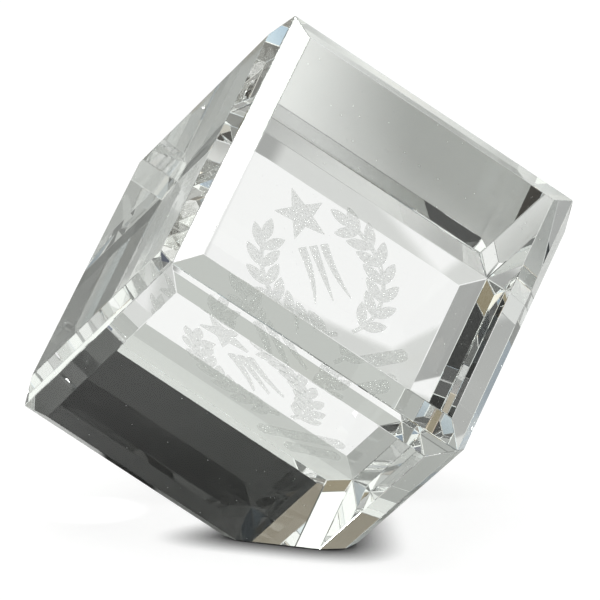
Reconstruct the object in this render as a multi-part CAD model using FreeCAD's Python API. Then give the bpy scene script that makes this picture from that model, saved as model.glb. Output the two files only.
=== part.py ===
import FreeCAD, Part
import math
import os

# Crystal award: a bevelled cube of optical crystal that stands on one cut corner, with an emblem
# engraved inside it. All sizes are in millimetres.
# The long diagonal of the cube is vertical, the origin is the centre of the foot, and the face
# that the emblem is read through leans back towards +Z and faces -Y.

# Block
cube_edge = 80.0          # across two opposite faces
bevel_inset = 7.3         # from a sharp edge of the cube to where the flat face begins
ridge_inset = 2.5         # how far the ridge between two bevels lies inside both faces
foot_cut = 16.8           # from the sharp bottom corner up to the foot

# Emblem plane: parallel to the front face, with u to the right and v up
emblem_from_back = 40.0   # from the back face to the middle of the engraving
engraving_depth = 0.8     # how thick the engraved layer is
emblem_u = -3.0           # middle of the wreath, from the middle of the face
emblem_v = 0.0

# Wreath: two laurel sprays that open upwards
wreath_radius = 15.0
spray_start = -82.0       # degrees, near the bottom of the wreath
spray_end = 38.0          # degrees, where the last leaf of the right spray stands
stem_width = 0.9
leaf_rows = 7
leaf_length = 6.4
leaf_width = 2.5
outer_lean = 27.0         # degrees between an outer leaf and the stem
inner_lean = 50.0         # the same for an inner leaf, which the stem bends towards

# Star and the three streamers under it
star_radius = 6.6
star_waist = 0.42         # inner radius over outer radius
star_v = 14.0             # above the middle of the wreath
streamer_gap = 1.0        # between the star and the streamers, and between their tops
streamer_width = 1.9
streamer_clearance = 0.3  # from the inner leaves to the tip of an outer streamer
streamer_fan = 1.8        # how far an outer streamer's tip spreads from the middle one
streamer_bow = 0.7        # how far an outer streamer bows inwards

# Two plain rules under the wreath
rule_height = 3.0
rule_gap = 2.2
rule_clearance = 1.6      # from the lowest leaf to the first rule
upper_rule_length = 27.0
lower_rule_length = 17.0


def vec(x, y, z=0.0):
    return FreeCAD.Vector(x, y, z)


def polygon_face(points):
    return Part.Face(Part.makePolygon(points + [points[0]]))


def bevelled_square():
    """The cube's section across one direction: a square whose corners carry two bevels each."""
    far = cube_edge
    corners = [(0.0, 0.0, 1, 1), (far, 0.0, -1, 1), (far, far, -1, -1), (0.0, far, 1, -1)]
    points = []
    for number, (x, y, sx, sy) in enumerate(corners):
        trio = [
            vec(x, y + sy * bevel_inset),
            vec(x + sx * ridge_inset, y + sy * ridge_inset),
            vec(x + sx * bevel_inset, y),
        ]
        if number % 2:
            trio.reverse()
        points.extend(trio)
    return polygon_face(points)


def bevelled_cube():
    """Where three bevelled bars cross, every edge is bevelled and the bevels mitre at the corners."""
    bar = bevelled_square().extrude(vec(0, 0, cube_edge))
    middle = vec(cube_edge / 2, cube_edge / 2, cube_edge / 2)
    along_y = bar.copy()
    along_y.rotate(middle, vec(1, 0, 0), 90)
    along_x = bar.copy()
    along_x.rotate(middle, vec(0, 1, 0), 90)
    return bar.common(along_y).common(along_x)


def frame_matrix(x_axis, y_axis, z_axis, origin):
    return FreeCAD.Matrix(
        x_axis.x, y_axis.x, z_axis.x, origin.x,
        x_axis.y, y_axis.y, z_axis.y, origin.y,
        x_axis.z, y_axis.z, z_axis.z, origin.z,
        0, 0, 0, 1)


# The cube's own axes in the standing frame: each rises equally, 120 degrees apart around +Z.
def standing_axis(azimuth):
    flat = math.sqrt(2.0 / 3.0)
    turn = math.radians(azimuth)
    return vec(flat * math.sin(turn), flat * math.cos(turn), math.sqrt(1.0 / 3.0))


left_axis = standing_axis(-60)
front_axis = standing_axis(180)
right_axis = standing_axis(60)
stand = frame_matrix(left_axis, front_axis, right_axis, vec(0, 0, -foot_cut))

# The emblem plane inside the cube, before it stands
half = cube_edge / 2
emblem_right = vec(-1, 0, 1) / math.sqrt(2)
emblem_up = vec(1, 0, 1) / math.sqrt(2)
emblem_origin = vec(half, emblem_from_back - engraving_depth / 2, half)
emblem = frame_matrix(emblem_right, emblem_up, vec(0, 1, 0), emblem_origin)


def engraved(face):
    """Give a flat outline its depth and put it in the emblem plane of the standing cube."""
    solid = face.extrude(vec(0, 0, engraving_depth))
    solid.translate(vec(emblem_u, emblem_v, 0))
    return solid.transformed(emblem).transformed(stand)


def star_outline():
    points = []
    for step in range(10):
        reach = star_radius * (star_waist if step % 2 else 1.0)
        angle = math.radians(90 + 36 * step)
        points.append(vec(reach * math.cos(angle), star_v + reach * math.sin(angle)))
    return polygon_face(points)


def streamer_outline(place):
    """A ribbon that hangs under the star and narrows to a point; place is -1, 0 or 1."""
    leaf_reach = leaf_length * math.sin(math.radians(inner_lean)) + leaf_width / 2
    clear_radius = wreath_radius - leaf_reach - streamer_clearance
    bottom = -math.sqrt(clear_radius ** 2 - (streamer_width + streamer_gap + streamer_fan) ** 2)
    top = star_v - star_radius - streamer_gap
    middle = place * (streamer_width + streamer_gap)
    tip = vec(middle + place * streamer_fan, bottom)
    left = vec(middle - streamer_width / 2, top)
    right = vec(middle + streamer_width / 2, top)
    bow = place * streamer_bow
    half_way = (top + bottom) / 2
    lean = middle + place * streamer_fan / 2
    swell = streamer_width / 3
    left_side = Part.Arc(tip, vec(lean - swell - bow, half_way), left).toShape()
    right_side = Part.Arc(right, vec(lean + swell - bow, half_way), tip).toShape()
    return Part.Face(Part.Wire([left_side, Part.makeLine(left, right), right_side]))


def leaf_outline(angle, lean):
    """A pointed leaf that grows from the stem at an angle around the wreath."""
    root = vec(0, 0)
    tip = vec(leaf_length, 0)
    upper = Part.Arc(root, vec(leaf_length / 2, leaf_width / 2), tip).toShape()
    lower = Part.Arc(tip, vec(leaf_length / 2, -leaf_width / 2), root).toShape()
    leaf = Part.Face(Part.Wire([upper, lower]))
    leaf.rotate(root, vec(0, 0, 1), angle + 90 + lean)
    turn = math.radians(angle)
    leaf.translate(vec(wreath_radius * math.cos(turn), wreath_radius * math.sin(turn)))
    return leaf


def spray_outline():
    """The right laurel spray: a curved stem, pairs of leaves along it and one leaf at its end."""
    def around(radius, angle):
        turn = math.radians(angle)
        return vec(radius * math.cos(turn), radius * math.sin(turn))

    outer = wreath_radius + stem_width / 2
    inner = wreath_radius - stem_width / 2
    middle = (spray_start + spray_end) / 2
    outer_side = Part.Arc(around(outer, spray_start), around(outer, middle), around(outer, spray_end))
    inner_side = Part.Arc(around(inner, spray_end), around(inner, middle), around(inner, spray_start))
    stem = Part.Face(Part.Wire([
        outer_side.toShape(),
        Part.makeLine(around(outer, spray_end), around(inner, spray_end)),
        inner_side.toShape(),
        Part.makeLine(around(inner, spray_start), around(outer, spray_start)),
    ]))
    leaves = [leaf_outline(spray_end, 0)]
    for row in range(leaf_rows):
        angle = spray_start + (row + 0.6) * (spray_end - spray_start) / leaf_rows
        for lean in (-outer_lean, inner_lean):
            leaves.append(leaf_outline(angle, lean))
    return stem, leaves


def spray_solid(side):
    stem, leaves = spray_outline()
    shape = stem.extrude(vec(0, 0, engraving_depth))
    shape = shape.fuse([leaf.extrude(vec(0, 0, engraving_depth)) for leaf in leaves]).removeSplitter()
    if side < 0:
        shape = shape.mirror(vec(0, 0, 0), vec(1, 0, 0))
    shape.translate(vec(emblem_u, emblem_v, 0))
    return shape.transformed(emblem).transformed(stand)


def rule_outline(row, length):
    """A plain bar with round ends, row 0 or 1 under the wreath."""
    wreath_foot = -wreath_radius - leaf_length * math.sin(math.radians(outer_lean)) - leaf_width / 2
    middle = wreath_foot - rule_clearance - rule_height / 2 - row * (rule_height + rule_gap)
    radius = rule_height / 2
    straight = length / 2 - radius
    edges = [
        Part.makeLine(vec(-straight, middle - radius), vec(straight, middle - radius)),
        Part.Arc(vec(straight, middle - radius), vec(length / 2, middle),
                 vec(straight, middle + radius)).toShape(),
        Part.makeLine(vec(straight, middle + radius), vec(-straight, middle + radius)),
        Part.Arc(vec(-straight, middle + radius), vec(-length / 2, middle),
                 vec(-straight, middle - radius)).toShape(),
    ]
    return Part.Face(Part.Wire(edges))


def crystal_block(engravings):
    """The standing block, cut flat at its foot, with a sealed space for each engraving."""
    block = bevelled_cube().transformed(stand)
    reach = 2 * cube_edge
    below = Part.makeBox(2 * reach, 2 * reach, reach, vec(-reach, -reach, -reach))
    return block.cut(below).cut(engravings)


engravings = {
    "mark_star": engraved(star_outline()),
    "mark_streamer_left": engraved(streamer_outline(-1)),
    "mark_streamer_middle": engraved(streamer_outline(0)),
    "mark_streamer_right": engraved(streamer_outline(1)),
    "mark_laurel_left": spray_solid(-1),
    "mark_laurel_right": spray_solid(1),
    "mark_rule_upper": engraved(rule_outline(0, upper_rule_length)),
    "mark_rule_lower": engraved(rule_outline(1, lower_rule_length)),
}

nodes = {"crystal_block": crystal_block(list(engravings.values()))}
nodes.update(engravings)

os.makedirs("parts", exist_ok=True)
for name, shape in nodes.items():
    box = shape.BoundBox
    print(name, "solids", len(shape.Solids), "valid", shape.isValid(), "volume %.1f" % shape.Volume,
          "x %.2f %.2f  y %.2f %.2f  z %.2f %.2f" % (box.XMin, box.XMax, box.YMin, box.YMax, box.ZMin, box.ZMax))
    shape.exportStep("parts/" + name + ".step")
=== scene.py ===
import math

import bmesh
import bpy
from mathutils import Matrix, Vector


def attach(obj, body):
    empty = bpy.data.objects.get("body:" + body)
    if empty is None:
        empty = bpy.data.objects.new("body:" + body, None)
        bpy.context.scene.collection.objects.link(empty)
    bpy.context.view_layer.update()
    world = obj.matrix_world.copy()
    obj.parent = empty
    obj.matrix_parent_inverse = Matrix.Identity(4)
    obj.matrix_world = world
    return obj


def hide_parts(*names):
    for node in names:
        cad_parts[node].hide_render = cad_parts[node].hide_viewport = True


# A crystal award: a bevelled cube that stands on a cut corner, with a frosted emblem inside.
# Lengths are in metres, the foot is at the origin, and the emblem is read from -Y.

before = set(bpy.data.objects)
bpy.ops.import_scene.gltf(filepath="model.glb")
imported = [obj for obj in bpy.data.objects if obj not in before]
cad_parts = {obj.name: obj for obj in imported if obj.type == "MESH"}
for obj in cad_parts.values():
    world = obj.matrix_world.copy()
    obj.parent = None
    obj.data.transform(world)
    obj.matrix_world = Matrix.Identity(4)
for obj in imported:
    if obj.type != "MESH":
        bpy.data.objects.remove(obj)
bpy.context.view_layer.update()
print("frame loaded:", len(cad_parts), "nodes")


def freshTree(owner):
    owner.use_nodes = True
    owner.node_tree.nodes.clear()
    return owner.node_tree


def wire(tree, socket, source):
    if isinstance(source, bpy.types.NodeSocket):
        tree.links.new(source, socket)
    else:
        socket.default_value = source


def calc(tree, operation, first, second=0.0, third=0.0, clamp=False):
    node = tree.nodes.new("ShaderNodeMath")
    node.operation = operation
    node.use_clamp = clamp
    for slot, source in enumerate((first, second, third)):
        wire(tree, node.inputs[slot], source)
    return node.outputs[0]


def dot(tree, vector, direction):
    node = tree.nodes.new("ShaderNodeVectorMath")
    node.operation = "DOT_PRODUCT"
    wire(tree, node.inputs[0], vector)
    node.inputs[1].default_value = direction
    return node.outputs["Value"]


def ease(tree, value, start, end, low=0.0, high=1.0):
    node = tree.nodes.new("ShaderNodeMapRange")
    node.interpolation_type = "SMOOTHSTEP"
    wire(tree, node.inputs["Value"], value)
    node.inputs["From Min"].default_value = start
    node.inputs["From Max"].default_value = end
    wire(tree, node.inputs["To Min"], low)
    wire(tree, node.inputs["To Max"], high)
    return node.outputs["Result"]


def blendValue(tree, factor, first, second):
    node = tree.nodes.new("ShaderNodeMix")
    node.data_type = "FLOAT"
    wire(tree, node.inputs["Factor"], factor)
    wire(tree, node.inputs["A"], first)
    wire(tree, node.inputs["B"], second)
    return node.outputs["Result"]


def blendColour(tree, factor, first, second, mode="MIX"):
    node = tree.nodes.new("ShaderNodeMix")
    node.data_type = "RGBA"
    node.blend_type = mode
    wire(tree, node.inputs["Factor"], factor)
    wire(tree, node.inputs[6], first)
    wire(tree, node.inputs[7], second)
    return node.outputs[2]


block = {
    "edge": 0.080,
    "bevelInset": 0.0073,     # from a sharp edge to where the flat face begins
    "ridgeInset": 0.0025,     # how far the ridge between two bevels lies inside both faces
    "footCut": 0.0168,        # from the sharp bottom corner up to the foot
    "softEdge": 0.00014,      # the polished edges are very slightly rounded
    "softSteps": 2,
    "sameSpot": 1e-7,
}


# The cube's axes all rise equally, 120 degrees apart, with its sharp corner under the foot.
def standingMatrix():
    axes = []
    for azimuth in (-60, 180, 60):
        turn = math.radians(azimuth)
        flat = math.sqrt(2 / 3)
        axes.append(Vector((flat * math.sin(turn), flat * math.cos(turn), math.sqrt(1 / 3))))
    turned = Matrix(axes).transposed().to_4x4()
    return Matrix.Translation((0, 0, -block["footCut"])) @ turned


# Cuts everything beyond a plane off a convex solid, and closes the cut.
def cutAway(bm, point, outward):
    geometry = bm.verts[:] + bm.edges[:] + bm.faces[:]
    cut = bmesh.ops.bisect_plane(bm, geom=geometry, dist=block["sameSpot"], plane_co=point,
                                 plane_no=outward, clear_outer=True)
    rim = [item for item in cut["geom_cut"] if isinstance(item, bmesh.types.BMEdge)]
    if rim:
        bmesh.ops.edgeloop_fill(bm, edges=rim)


def buildCrystal():
    bm = bmesh.new()
    edge = block["edge"]
    bmesh.ops.create_cube(bm, size=edge, matrix=Matrix.Translation((edge / 2,) * 3))
    inset = block["bevelInset"]
    ridge = block["ridgeInset"]
    middle = Vector((edge / 2,) * 3)
    for first in range(3):
        for second in range(3):
            if first == second:
                continue
            for firstSide in (-1, 1):
                for secondSide in (-1, 1):
                    # the plane through the face line at `inset` and the ridge line at `ridge`
                    outward = Vector((0, 0, 0))
                    outward[first] = firstSide * (inset - ridge)
                    outward[second] = secondSide * ridge
                    outward.normalize()
                    point = middle.copy()
                    point[first] += firstSide * edge / 2
                    point[second] += secondSide * (edge / 2 - inset)
                    cutAway(bm, point, outward)
    bmesh.ops.transform(bm, matrix=standingMatrix(), verts=bm.verts[:])
    cutAway(bm, Vector((0, 0, 0)), Vector((0, 0, -1)))
    bmesh.ops.remove_doubles(bm, verts=bm.verts[:], dist=1e-6)
    bmesh.ops.bevel(bm, geom=bm.edges[:], offset=block["softEdge"], offset_type="OFFSET",
                    affect="EDGES", segments=block["softSteps"], profile=0.5, material=-1)
    bmesh.ops.recalc_face_normals(bm, faces=bm.faces[:])
    mesh = bpy.data.meshes.new("crystalCube")
    bm.to_mesh(mesh)
    bm.free()
    piece = bpy.data.objects.new("crystalCube", mesh)
    bpy.context.scene.collection.objects.link(piece)
    return piece


glass = {
    "clear": (0.996, 1.0, 0.996, 1.0),
    "tinged": (0.985, 0.994, 0.984, 1.0),
    "ior": 1.52,
    "tingeScale": 9.0,
    "tingeDetail": 1.0,
    "speckScale": 420.0,
    "speckSize": 0.045,
    "speckRoughness": 0.45,
}


def opticalCrystal():
    material = bpy.data.materials.new("opticalCrystal")
    tree = freshTree(material)
    nodes = tree.nodes
    output = nodes.new("ShaderNodeOutputMaterial")
    shader = nodes.new("ShaderNodeBsdfPrincipled")
    place = nodes.new("ShaderNodeTexCoord")
    drift = nodes.new("ShaderNodeTexNoise")
    drift.inputs["Scale"].default_value = glass["tingeScale"]
    drift.inputs["Detail"].default_value = glass["tingeDetail"]
    tree.links.new(place.outputs["Object"], drift.inputs["Vector"])
    tint = blendColour(tree, drift.outputs[0], glass["clear"], glass["tinged"])
    dust = nodes.new("ShaderNodeTexVoronoi")
    dust.inputs["Scale"].default_value = glass["speckScale"]
    tree.links.new(place.outputs["Object"], dust.inputs["Vector"])
    speck = calc(tree, "LESS_THAN", dust.outputs["Distance"], glass["speckSize"])
    rough = calc(tree, "MULTIPLY", speck, glass["speckRoughness"])
    tree.links.new(tint, shader.inputs["Base Color"])
    tree.links.new(rough, shader.inputs["Roughness"])
    shader.inputs["Transmission Weight"].default_value = 1.0
    shader.inputs["IOR"].default_value = glass["ior"]
    tree.links.new(shader.outputs["BSDF"], output.inputs["Surface"])
    return material


crystal = buildCrystal()
crystal.data.materials.append(opticalCrystal())
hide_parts("crystal_block")
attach(crystal, "root")
print("crystal:", len(crystal.data.vertices), "points", len(crystal.data.polygons), "faces")


frost = {
    "pale": (0.96, 0.97, 0.96, 1.0),
    "shade": (0.82, 0.84, 0.83, 1.0),
    "dotScale": 2600.0,
    "cloudScale": 260.0,
    "cover": (0.13, 0.28),    # least and most cover of the laser dots
    "dotFade": (0.25, 0.75),  # how the cover falls off from the middle of a dot
    "cloudDetail": 3.0,
    "gloss": 0.2,
    "roughness": 0.9,
}


def laserFrost():
    material = bpy.data.materials.new("laserFrost")
    tree = freshTree(material)
    nodes = tree.nodes
    output = nodes.new("ShaderNodeOutputMaterial")
    shader = nodes.new("ShaderNodeBsdfPrincipled")
    place = nodes.new("ShaderNodeTexCoord")
    dots = nodes.new("ShaderNodeTexVoronoi")
    dots.inputs["Scale"].default_value = frost["dotScale"]
    cloud = nodes.new("ShaderNodeTexNoise")
    cloud.inputs["Scale"].default_value = frost["cloudScale"]
    cloud.inputs["Detail"].default_value = frost["cloudDetail"]
    for node in (dots, cloud):
        tree.links.new(place.outputs["Object"], node.inputs["Vector"])
    colour = blendColour(tree, cloud.outputs[0], frost["shade"], frost["pale"])
    least, most = frost["cover"]
    cover = ease(tree, dots.outputs["Distance"], *frost["dotFade"], most, least)
    tree.links.new(colour, shader.inputs["Base Color"])
    tree.links.new(cover, shader.inputs["Alpha"])
    shader.inputs["Roughness"].default_value = frost["roughness"]
    shader.inputs["Specular IOR Level"].default_value = frost["gloss"]
    tree.links.new(shader.outputs["BSDF"], output.inputs["Surface"])
    return material


laser = laserFrost()
for name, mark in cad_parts.items():
    if name != "crystal_block":
        mark.data.materials.clear()
        mark.data.materials.append(laser)
print("emblem frosted:", len(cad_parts) - 1, "marks")


floorPlan = {
    "gap": 0.0003,            # the polished foot doesn't wet the floor
    "radius": 0.75,
    "segments": 96,
    "turn": -33.68,           # the way that the white card behind the block points
    "cardTip": (0.006, 0.112),    # its near corner
    "cardLeft": 2.0,          # how steeply its two near edges run back
    "cardRight": 2.1,
    "cardSide": (-0.061, 0.094),  # where its left side starts, and how it runs back
    "cardRim": 0.02,          # how soft its edges are
    "sideRim": 0.005,
    "border": 0.045,          # how wide its pale border is
    "white": 0.93,
    "borderTone": 0.72,
    "near": 0.92,             # paper round the block, then what lies further back and to the sides
    "far": 0.42,
    "aside": 0.80,
    "asideFade": (0.14, 0.17),
    "cast": (0.985, 1.0, 0.975),
    "front": 0.10,            # dark paper towards the camera, and painted shade: the floor under the block is painted grey
    "under": 0.62,
    "paintedShadowSpot": (-0.026, 0.046, 0.0),   # painted shadow: a dark spot beside the foot, under the block's overhang
    "paintedShadowSpotFade": (0.010, 0.014),
    "paintedShadowSpotTone": 0.04,
    "nearFade": (0.085, 0.115),
    "underFade": (0.034, 0.026),
    "frontFade": (-0.07, -0.12),
    "frontSide": (-0.109, -0.104),
    "frontFar": (-0.42, -0.36),
    "lit": 0.93,              # what reaches a white floor in the open
    "seenWhite": 1.04,        # the level the open floor is seen at
    "cardWhite": 0.965,       # the level the card is seen at through the glass
    "seenShade": 0.25,        # how much of the soft shadow is seen directly
    "contactShadow": (0.0, 1.0, 0.010),  # painted contact shadow from ambient occlusion: level in the tightest gap, level in the open, reach
}


# The camera sees the floor plain white with its lamp shadow and a contact shadow painted from ambient
# occlusion; the crystal also sees the papers on it and the shade painted under and beside the block.
def buildFloor():
    bm = bmesh.new()
    bmesh.ops.create_circle(bm, cap_ends=True, segments=floorPlan["segments"],
                            radius=floorPlan["radius"],
                            matrix=Matrix.Translation((0, 0, -floorPlan["gap"])))
    mesh = bpy.data.meshes.new("studioFloor")
    bm.to_mesh(mesh)
    bm.free()
    floor = bpy.data.objects.new("studioFloor", mesh)
    bpy.context.scene.collection.objects.link(floor)
    material = bpy.data.materials.new("whiteSweep")
    tree = freshTree(material)
    nodes = tree.nodes
    output = nodes.new("ShaderNodeOutputMaterial")
    place = nodes.new("ShaderNodeTexCoord")
    turn = math.radians(floorPlan["turn"])
    along = dot(tree, place.outputs["Object"], (-math.sin(turn), math.cos(turn), 0))
    across = dot(tree, place.outputs["Object"], (math.cos(turn), math.sin(turn), 0))
    aside = calc(tree, "SUBTRACT", across, floorPlan["cardTip"][0])
    behind = calc(tree, "SUBTRACT", along, floorPlan["cardTip"][1])
    leftEdge = calc(tree, "MULTIPLY", aside, -floorPlan["cardLeft"])
    rightEdge = calc(tree, "MULTIPLY", aside, floorPlan["cardRight"])
    inside = calc(tree, "SUBTRACT", behind, calc(tree, "MAXIMUM", leftEdge, rightEdge))
    sideStart, sideRun = floorPlan["cardSide"]
    side = calc(tree, "SUBTRACT", across, calc(tree, "MULTIPLY_ADD", along, sideRun, sideStart))
    onSide = ease(tree, side, 0.0, floorPlan["sideRim"])
    onCard = calc(tree, "MULTIPLY", onSide, ease(tree, inside, 0.0, floorPlan["cardRim"]))
    outer = -floorPlan["border"]
    onBorder = calc(tree, "MULTIPLY", onSide,
                    ease(tree, inside, outer - floorPlan["cardRim"], outer))
    reach = nodes.new("ShaderNodeVectorMath")
    reach.operation = "LENGTH"
    tree.links.new(place.outputs["Object"], reach.inputs[0])
    front = ease(tree, across, *floorPlan["frontSide"], floorPlan["white"], floorPlan["front"])
    front = ease(tree, along, *floorPlan["frontFar"], floorPlan["front"], front)
    back = ease(tree, calc(tree, "ABSOLUTE", across), *floorPlan["asideFade"],
                floorPlan["far"], floorPlan["aside"])
    tone = ease(tree, along, *floorPlan["frontFade"], back, front)
    # painted shade: the floor under the block and in front of the foot is painted grey
    near = ease(tree, along, *floorPlan["underFade"], floorPlan["near"], floorPlan["under"])
    away = nodes.new("ShaderNodeVectorMath")
    away.operation = "DISTANCE"
    tree.links.new(place.outputs["Object"], away.inputs[0])
    # painted shadow: a dark spot painted on the floor beside the foot
    away.inputs[1].default_value = floorPlan["paintedShadowSpot"]
    near = ease(tree, away.outputs["Value"], *floorPlan["paintedShadowSpotFade"], floorPlan["paintedShadowSpotTone"], near)
    tone = ease(tree, reach.outputs["Value"], *floorPlan["nearFade"], near, tone)
    tone = blendValue(tree, onBorder, tone, floorPlan["borderTone"])
    tone = blendValue(tree, onCard, tone, floorPlan["white"])
    # painted contact shadow: ambient occlusion darkens the floor's colour and glow close to the block
    closeness = nodes.new("ShaderNodeAmbientOcclusion")
    tight, clear, closeness.inputs["Distance"].default_value = floorPlan["contactShadow"]
    contactShadow = ease(tree, closeness.outputs["AO"], 0.0, 1.0, tight, clear)
    rays = nodes.new("ShaderNodeLightPath")
    polished = calc(tree, "ADD", rays.outputs["Is Glossy Ray"], rays.outputs["Is Transmission Ray"])
    direct = calc(tree, "MULTIPLY_ADD", polished, onCard, rays.outputs["Is Camera Ray"], clamp=True)
    contactShadow = blendValue(tree, direct, 1.0, contactShadow)
    shade = blendValue(tree, direct, 1.0, floorPlan["seenShade"])
    level = calc(tree, "MULTIPLY", calc(tree, "MULTIPLY", tone, shade), contactShadow)
    paint = nodes.new("ShaderNodeCombineColor")
    for slot, cast in enumerate(floorPlan["cast"]):
        tree.links.new(calc(tree, "MULTIPLY", level, cast), paint.inputs[slot])
    matt = nodes.new("ShaderNodeBsdfDiffuse")
    tree.links.new(paint.outputs[0], matt.inputs["Color"])
    wanted = blendValue(tree, rays.outputs["Is Camera Ray"], floorPlan["cardWhite"],
                        floorPlan["seenWhite"])
    missing = calc(tree, "MULTIPLY_ADD", tone, -floorPlan["lit"] * floorPlan["seenShade"], wanted)
    strength = calc(tree, "MULTIPLY", calc(tree, "MULTIPLY", direct, missing), contactShadow)
    glow = nodes.new("ShaderNodeEmission")
    tree.links.new(strength, glow.inputs["Strength"])
    both = nodes.new("ShaderNodeAddShader")
    tree.links.new(matt.outputs[0], both.inputs[0])
    tree.links.new(glow.outputs[0], both.inputs[1])
    tree.links.new(both.outputs[0], output.inputs["Surface"])
    floor.data.materials.append(material)
    return floor


# Each card: azimuth from +Y towards +X, elevation, half width and half height, all in degrees,
# then its colour.
room = {
    "plain": 0.38,            # what matt surfaces are lit by, apart from the lamp
    "low": 0.95,
    "horizon": 0.56,
    "wall": 0.66,
    "ceiling": 0.42,
    "horizonFade": (-0.16, -0.05),    # heights of a direction, from -1 below to 1 overhead
    "wallFade": (0.08, 0.32),
    "ceilingFade": (0.55, 0.9),
    "rim": 1.5,               # how soft the rims of the cards are, in degrees
    "spread": 0.14,           # how far apart red, green and blue are, in degrees
    "cast": (0.965, 1.0, 0.95),
    "spreadAxis": (0.55, 0.35, 0.76),
    "clutterFrom": (0.03, 0.06),
    "clutterLift": 0.4,
    "clutterScale": 9.0,
    "clutterDetail": 2.0,
    "clutterEdge": (0.44, 0.54),
    "clutterDark": 0.22,
    "clutterPale": 1.05,
    "mapSize": 512,
    "facing": 0.3,            # keeps a card off the opposite side of the room
    "cards": [
        (133, 45, 20, 12, 0.0),
        (141, 21, 10, 8, 0.05),
        (132, 29, 5, 5, 0.02),
        (143, 19.2, 2.5, 0.8, 1.1),
        (87, 38, 10, 8, 0.0),
        (141, 63, 12, 6, (0.29, 0.25, 0.20)),
        (45, 4, 9, 4, 0.58),
        (58, 20, 8, 6, 0.70),
        (17, -2, 6, 3, 0.42),
        (28, 16, 6, 4, 0.42),
        (-4, 27, 8, 6, (0.26, 0.32, 0.40)),
        (-104, 26, 8, 6, 1.2),
        (-101, 15, 5, 4, 0.15),
        (-110, 72, 20, 5, 0.03),
        (-126, 18, 7, 6, 0.03),
        (-120, 27, 4, 3, 0.6),
        (-146, 14, 6, 5, 0.48),
        (-162, 2, 7, 3, 0.5),
        (-172, 11, 6, 6, 0.74),
        (-138, 42, 9, 5, (0.30, 0.25, 0.17)),
        (42, 33, 5, 4, 0.85),
        (-155, 24, 4, 4, 0.95),
        (-103, 7, 4, 3, (0.02, 0.03, 0.07)),
        (74, 7, 4, 4, 0.5),
        (-28, 77, 30, 5, 0.05),
        (-75, 10, 8, 10, 1.2),
        (1, 34, 3, 2.5, 0.03),
        (18, 32, 3, 3, 0.10),
        (47, 17, 2.5, 2.5, 0.05),
        (129, -1.7, 3, 2.2, 0.17),
        (119, 22, 3, 3, 0.17),
        (0, 88.3, 2.6, 2.3, 18.0),
    ],
    "topLight": (83.5, 85, 1.3),   # where the overhead light begins and is full, and its level
}


def heading(azimuth, elevation):
    turn, rise = math.radians(azimuth), math.radians(elevation)
    return Vector((math.cos(rise) * math.sin(turn), math.cos(rise) * math.cos(turn), math.sin(rise)))


# The room by direction: a pale sweep, a grey wall, clutter above, and the cards over that.
def buildWorld():
    world = bpy.data.worlds.new("studioRoom")
    bpy.context.scene.world = world
    tree = freshTree(world)
    nodes = tree.nodes
    output = nodes.new("ShaderNodeOutputWorld")
    place = nodes.new("ShaderNodeTexCoord")
    direction = place.outputs["Generated"]
    height = dot(tree, direction, (0, 0, 1))
    level = ease(tree, height, *room["horizonFade"], room["low"], room["horizon"])
    level = ease(tree, height, *room["wallFade"], level, room["wall"])
    level = ease(tree, height, *room["ceilingFade"], level, room["ceiling"])
    swings = []
    for step in (-1, 0, 1):
        turned = nodes.new("ShaderNodeVectorRotate")
        turned.rotation_type = "AXIS_ANGLE"
        turned.inputs["Axis"].default_value = room["spreadAxis"]
        turned.inputs["Angle"].default_value = math.radians(room["spread"] * step)
        tree.links.new(direction, turned.inputs["Vector"])
        noise = nodes.new("ShaderNodeTexNoise")
        noise.inputs["Scale"].default_value = room["clutterScale"]
        noise.inputs["Detail"].default_value = room["clutterDetail"]
        tree.links.new(turned.outputs[0], noise.inputs["Vector"])
        swings.append(ease(tree, noise.outputs[0], *room["clutterEdge"],
                           room["clutterDark"], room["clutterPale"]))
    above = ease(tree, height, *room["clutterFrom"])
    lifted = calc(tree, "ADD", level, room["clutterLift"])
    mixed = nodes.new("ShaderNodeCombineColor")
    for slot, swing in enumerate(swings):
        channel = blendValue(tree, above, level, calc(tree, "MULTIPLY", lifted, swing))
        tree.links.new(channel, mixed.inputs[slot])
    begin, full, bright = room["topLight"]
    top = ease(tree, height, math.sin(math.radians(begin)), math.sin(math.radians(full)))
    colour = blendColour(tree, top, mixed.outputs[0], (bright,) * 3 + (1.0,))
    for azimuth, elevation, halfWide, halfHigh, bright in room["cards"]:
        towards = heading(azimuth, elevation)
        across = Vector((towards.y, -towards.x, 0)).normalized()
        upward = across.cross(towards)
        rim = min(room["rim"], halfHigh / 4)      # a small card has a sharper rim
        masks = []
        for axis, half in ((across, halfWide), (upward, halfHigh)):
            offset = calc(tree, "ABSOLUTE", dot(tree, direction, axis))
            masks.append(ease(tree, offset, math.sin(math.radians(half)),
                              math.sin(math.radians(half + rim)), 1.0, 0.0))
        facing = calc(tree, "GREATER_THAN", dot(tree, direction, towards), room["facing"])
        mask = calc(tree, "MULTIPLY", calc(tree, "MULTIPLY", masks[0], masks[1]), facing)
        tint = bright if isinstance(bright, tuple) else (bright,) * 3
        colour = blendColour(tree, mask, colour, tint + (1.0,))
    colour = blendColour(tree, 1.0, colour, room["cast"] + (1.0,), "MULTIPLY")
    rays = nodes.new("ShaderNodeLightPath")
    polished = calc(tree, "ADD", rays.outputs["Is Glossy Ray"],
                    rays.outputs["Is Transmission Ray"], clamp=True)
    seen = blendColour(tree, polished, (room["plain"],) * 3 + (1.0,), colour)
    seen = blendColour(tree, rays.outputs["Is Camera Ray"], seen, (1.0, 1.0, 1.0, 1.0))
    back = nodes.new("ShaderNodeBackground")
    tree.links.new(seen, back.inputs["Color"])
    tree.links.new(back.outputs[0], output.inputs["Surface"])
    world.cycles.sampling_method = "MANUAL"
    world.cycles.sample_map_resolution = room["mapSize"]


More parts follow.
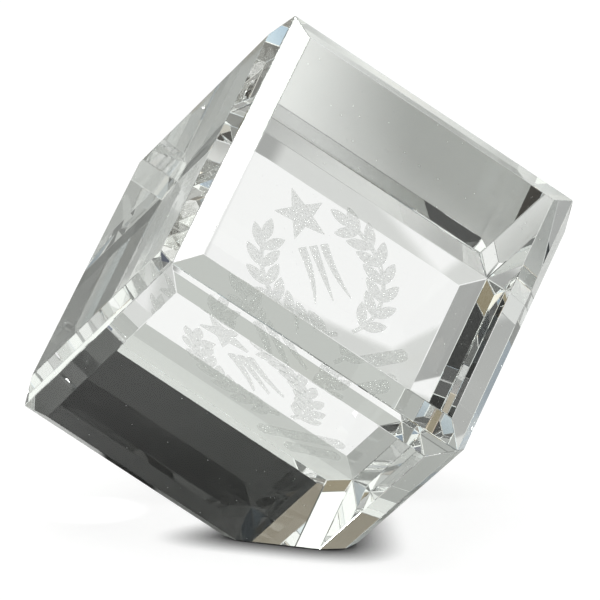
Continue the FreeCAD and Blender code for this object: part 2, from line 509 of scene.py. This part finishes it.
lamp = {
    "azimuth": -146,
    "elevation": 74,
    "width": 38,              # how wide the lamp is, in degrees, which softens its shadow
    "strength": 2.05,
}


# A wide soft light; the cards of the room stand for its panel in the crystal.
def buildLamp():
    data = bpy.data.lights.new("softbox", "SUN")
    data.angle = math.radians(lamp["width"])
    data.energy = lamp["strength"]
    softbox = bpy.data.objects.new("softbox", data)
    bpy.context.scene.collection.objects.link(softbox)
    outward = heading(lamp["azimuth"], lamp["elevation"])
    softbox.location = outward
    softbox.rotation_euler = outward.to_track_quat("Z", "Y").to_euler()
    softbox.visible_glossy = False
    softbox.visible_transmission = False


buildFloor()
buildWorld()
buildLamp()
print("studio: floor and room,", len(room["cards"]), "cards")


view = {
    "target": (0.00026, -0.00015, 0.0532),
    "azimuth": -33.68,
    "elevation": 12.79,
    "roll": -0.69,
    "distance": 2.0,
    "lens": 541.3,
    "sensor": 36.0,
}


def buildCamera():
    data = bpy.data.cameras.new("camera")
    data.lens = view["lens"]
    data.sensor_width = view["sensor"]
    camera = bpy.data.objects.new("camera", data)
    bpy.context.scene.collection.objects.link(camera)
    turn, rise = math.radians(view["azimuth"]), math.radians(view["elevation"])
    outward = Vector((math.sin(turn) * math.cos(rise), -math.cos(turn) * math.cos(rise), math.sin(rise)))
    camera.location = Vector(view["target"]) + outward * view["distance"]
    aim = (-outward).to_track_quat("-Z", "Y").to_matrix()
    camera.rotation_euler = (aim @ Matrix.Rotation(math.radians(view["roll"]), 3, "Z")).to_euler()
    bpy.context.scene.camera = camera


buildCamera()


# Light turns many times inside cut crystal, so its paths are followed a long way.
bounces = {
    "polished": 40,
    "seeThrough": 32,
    "matt": 3,
}

scene = bpy.context.scene
scene.view_settings.view_transform = "Standard"
scene.cycles.max_bounces = bounces["polished"]
scene.cycles.transmission_bounces = bounces["polished"]
scene.cycles.glossy_bounces = bounces["polished"]
scene.cycles.transparent_max_bounces = bounces["seeThrough"]
scene.cycles.diffuse_bounces = bounces["matt"]
scene.cycles.sample_clamp_indirect = 0.0
scene.cycles.blur_glossy = 0.0
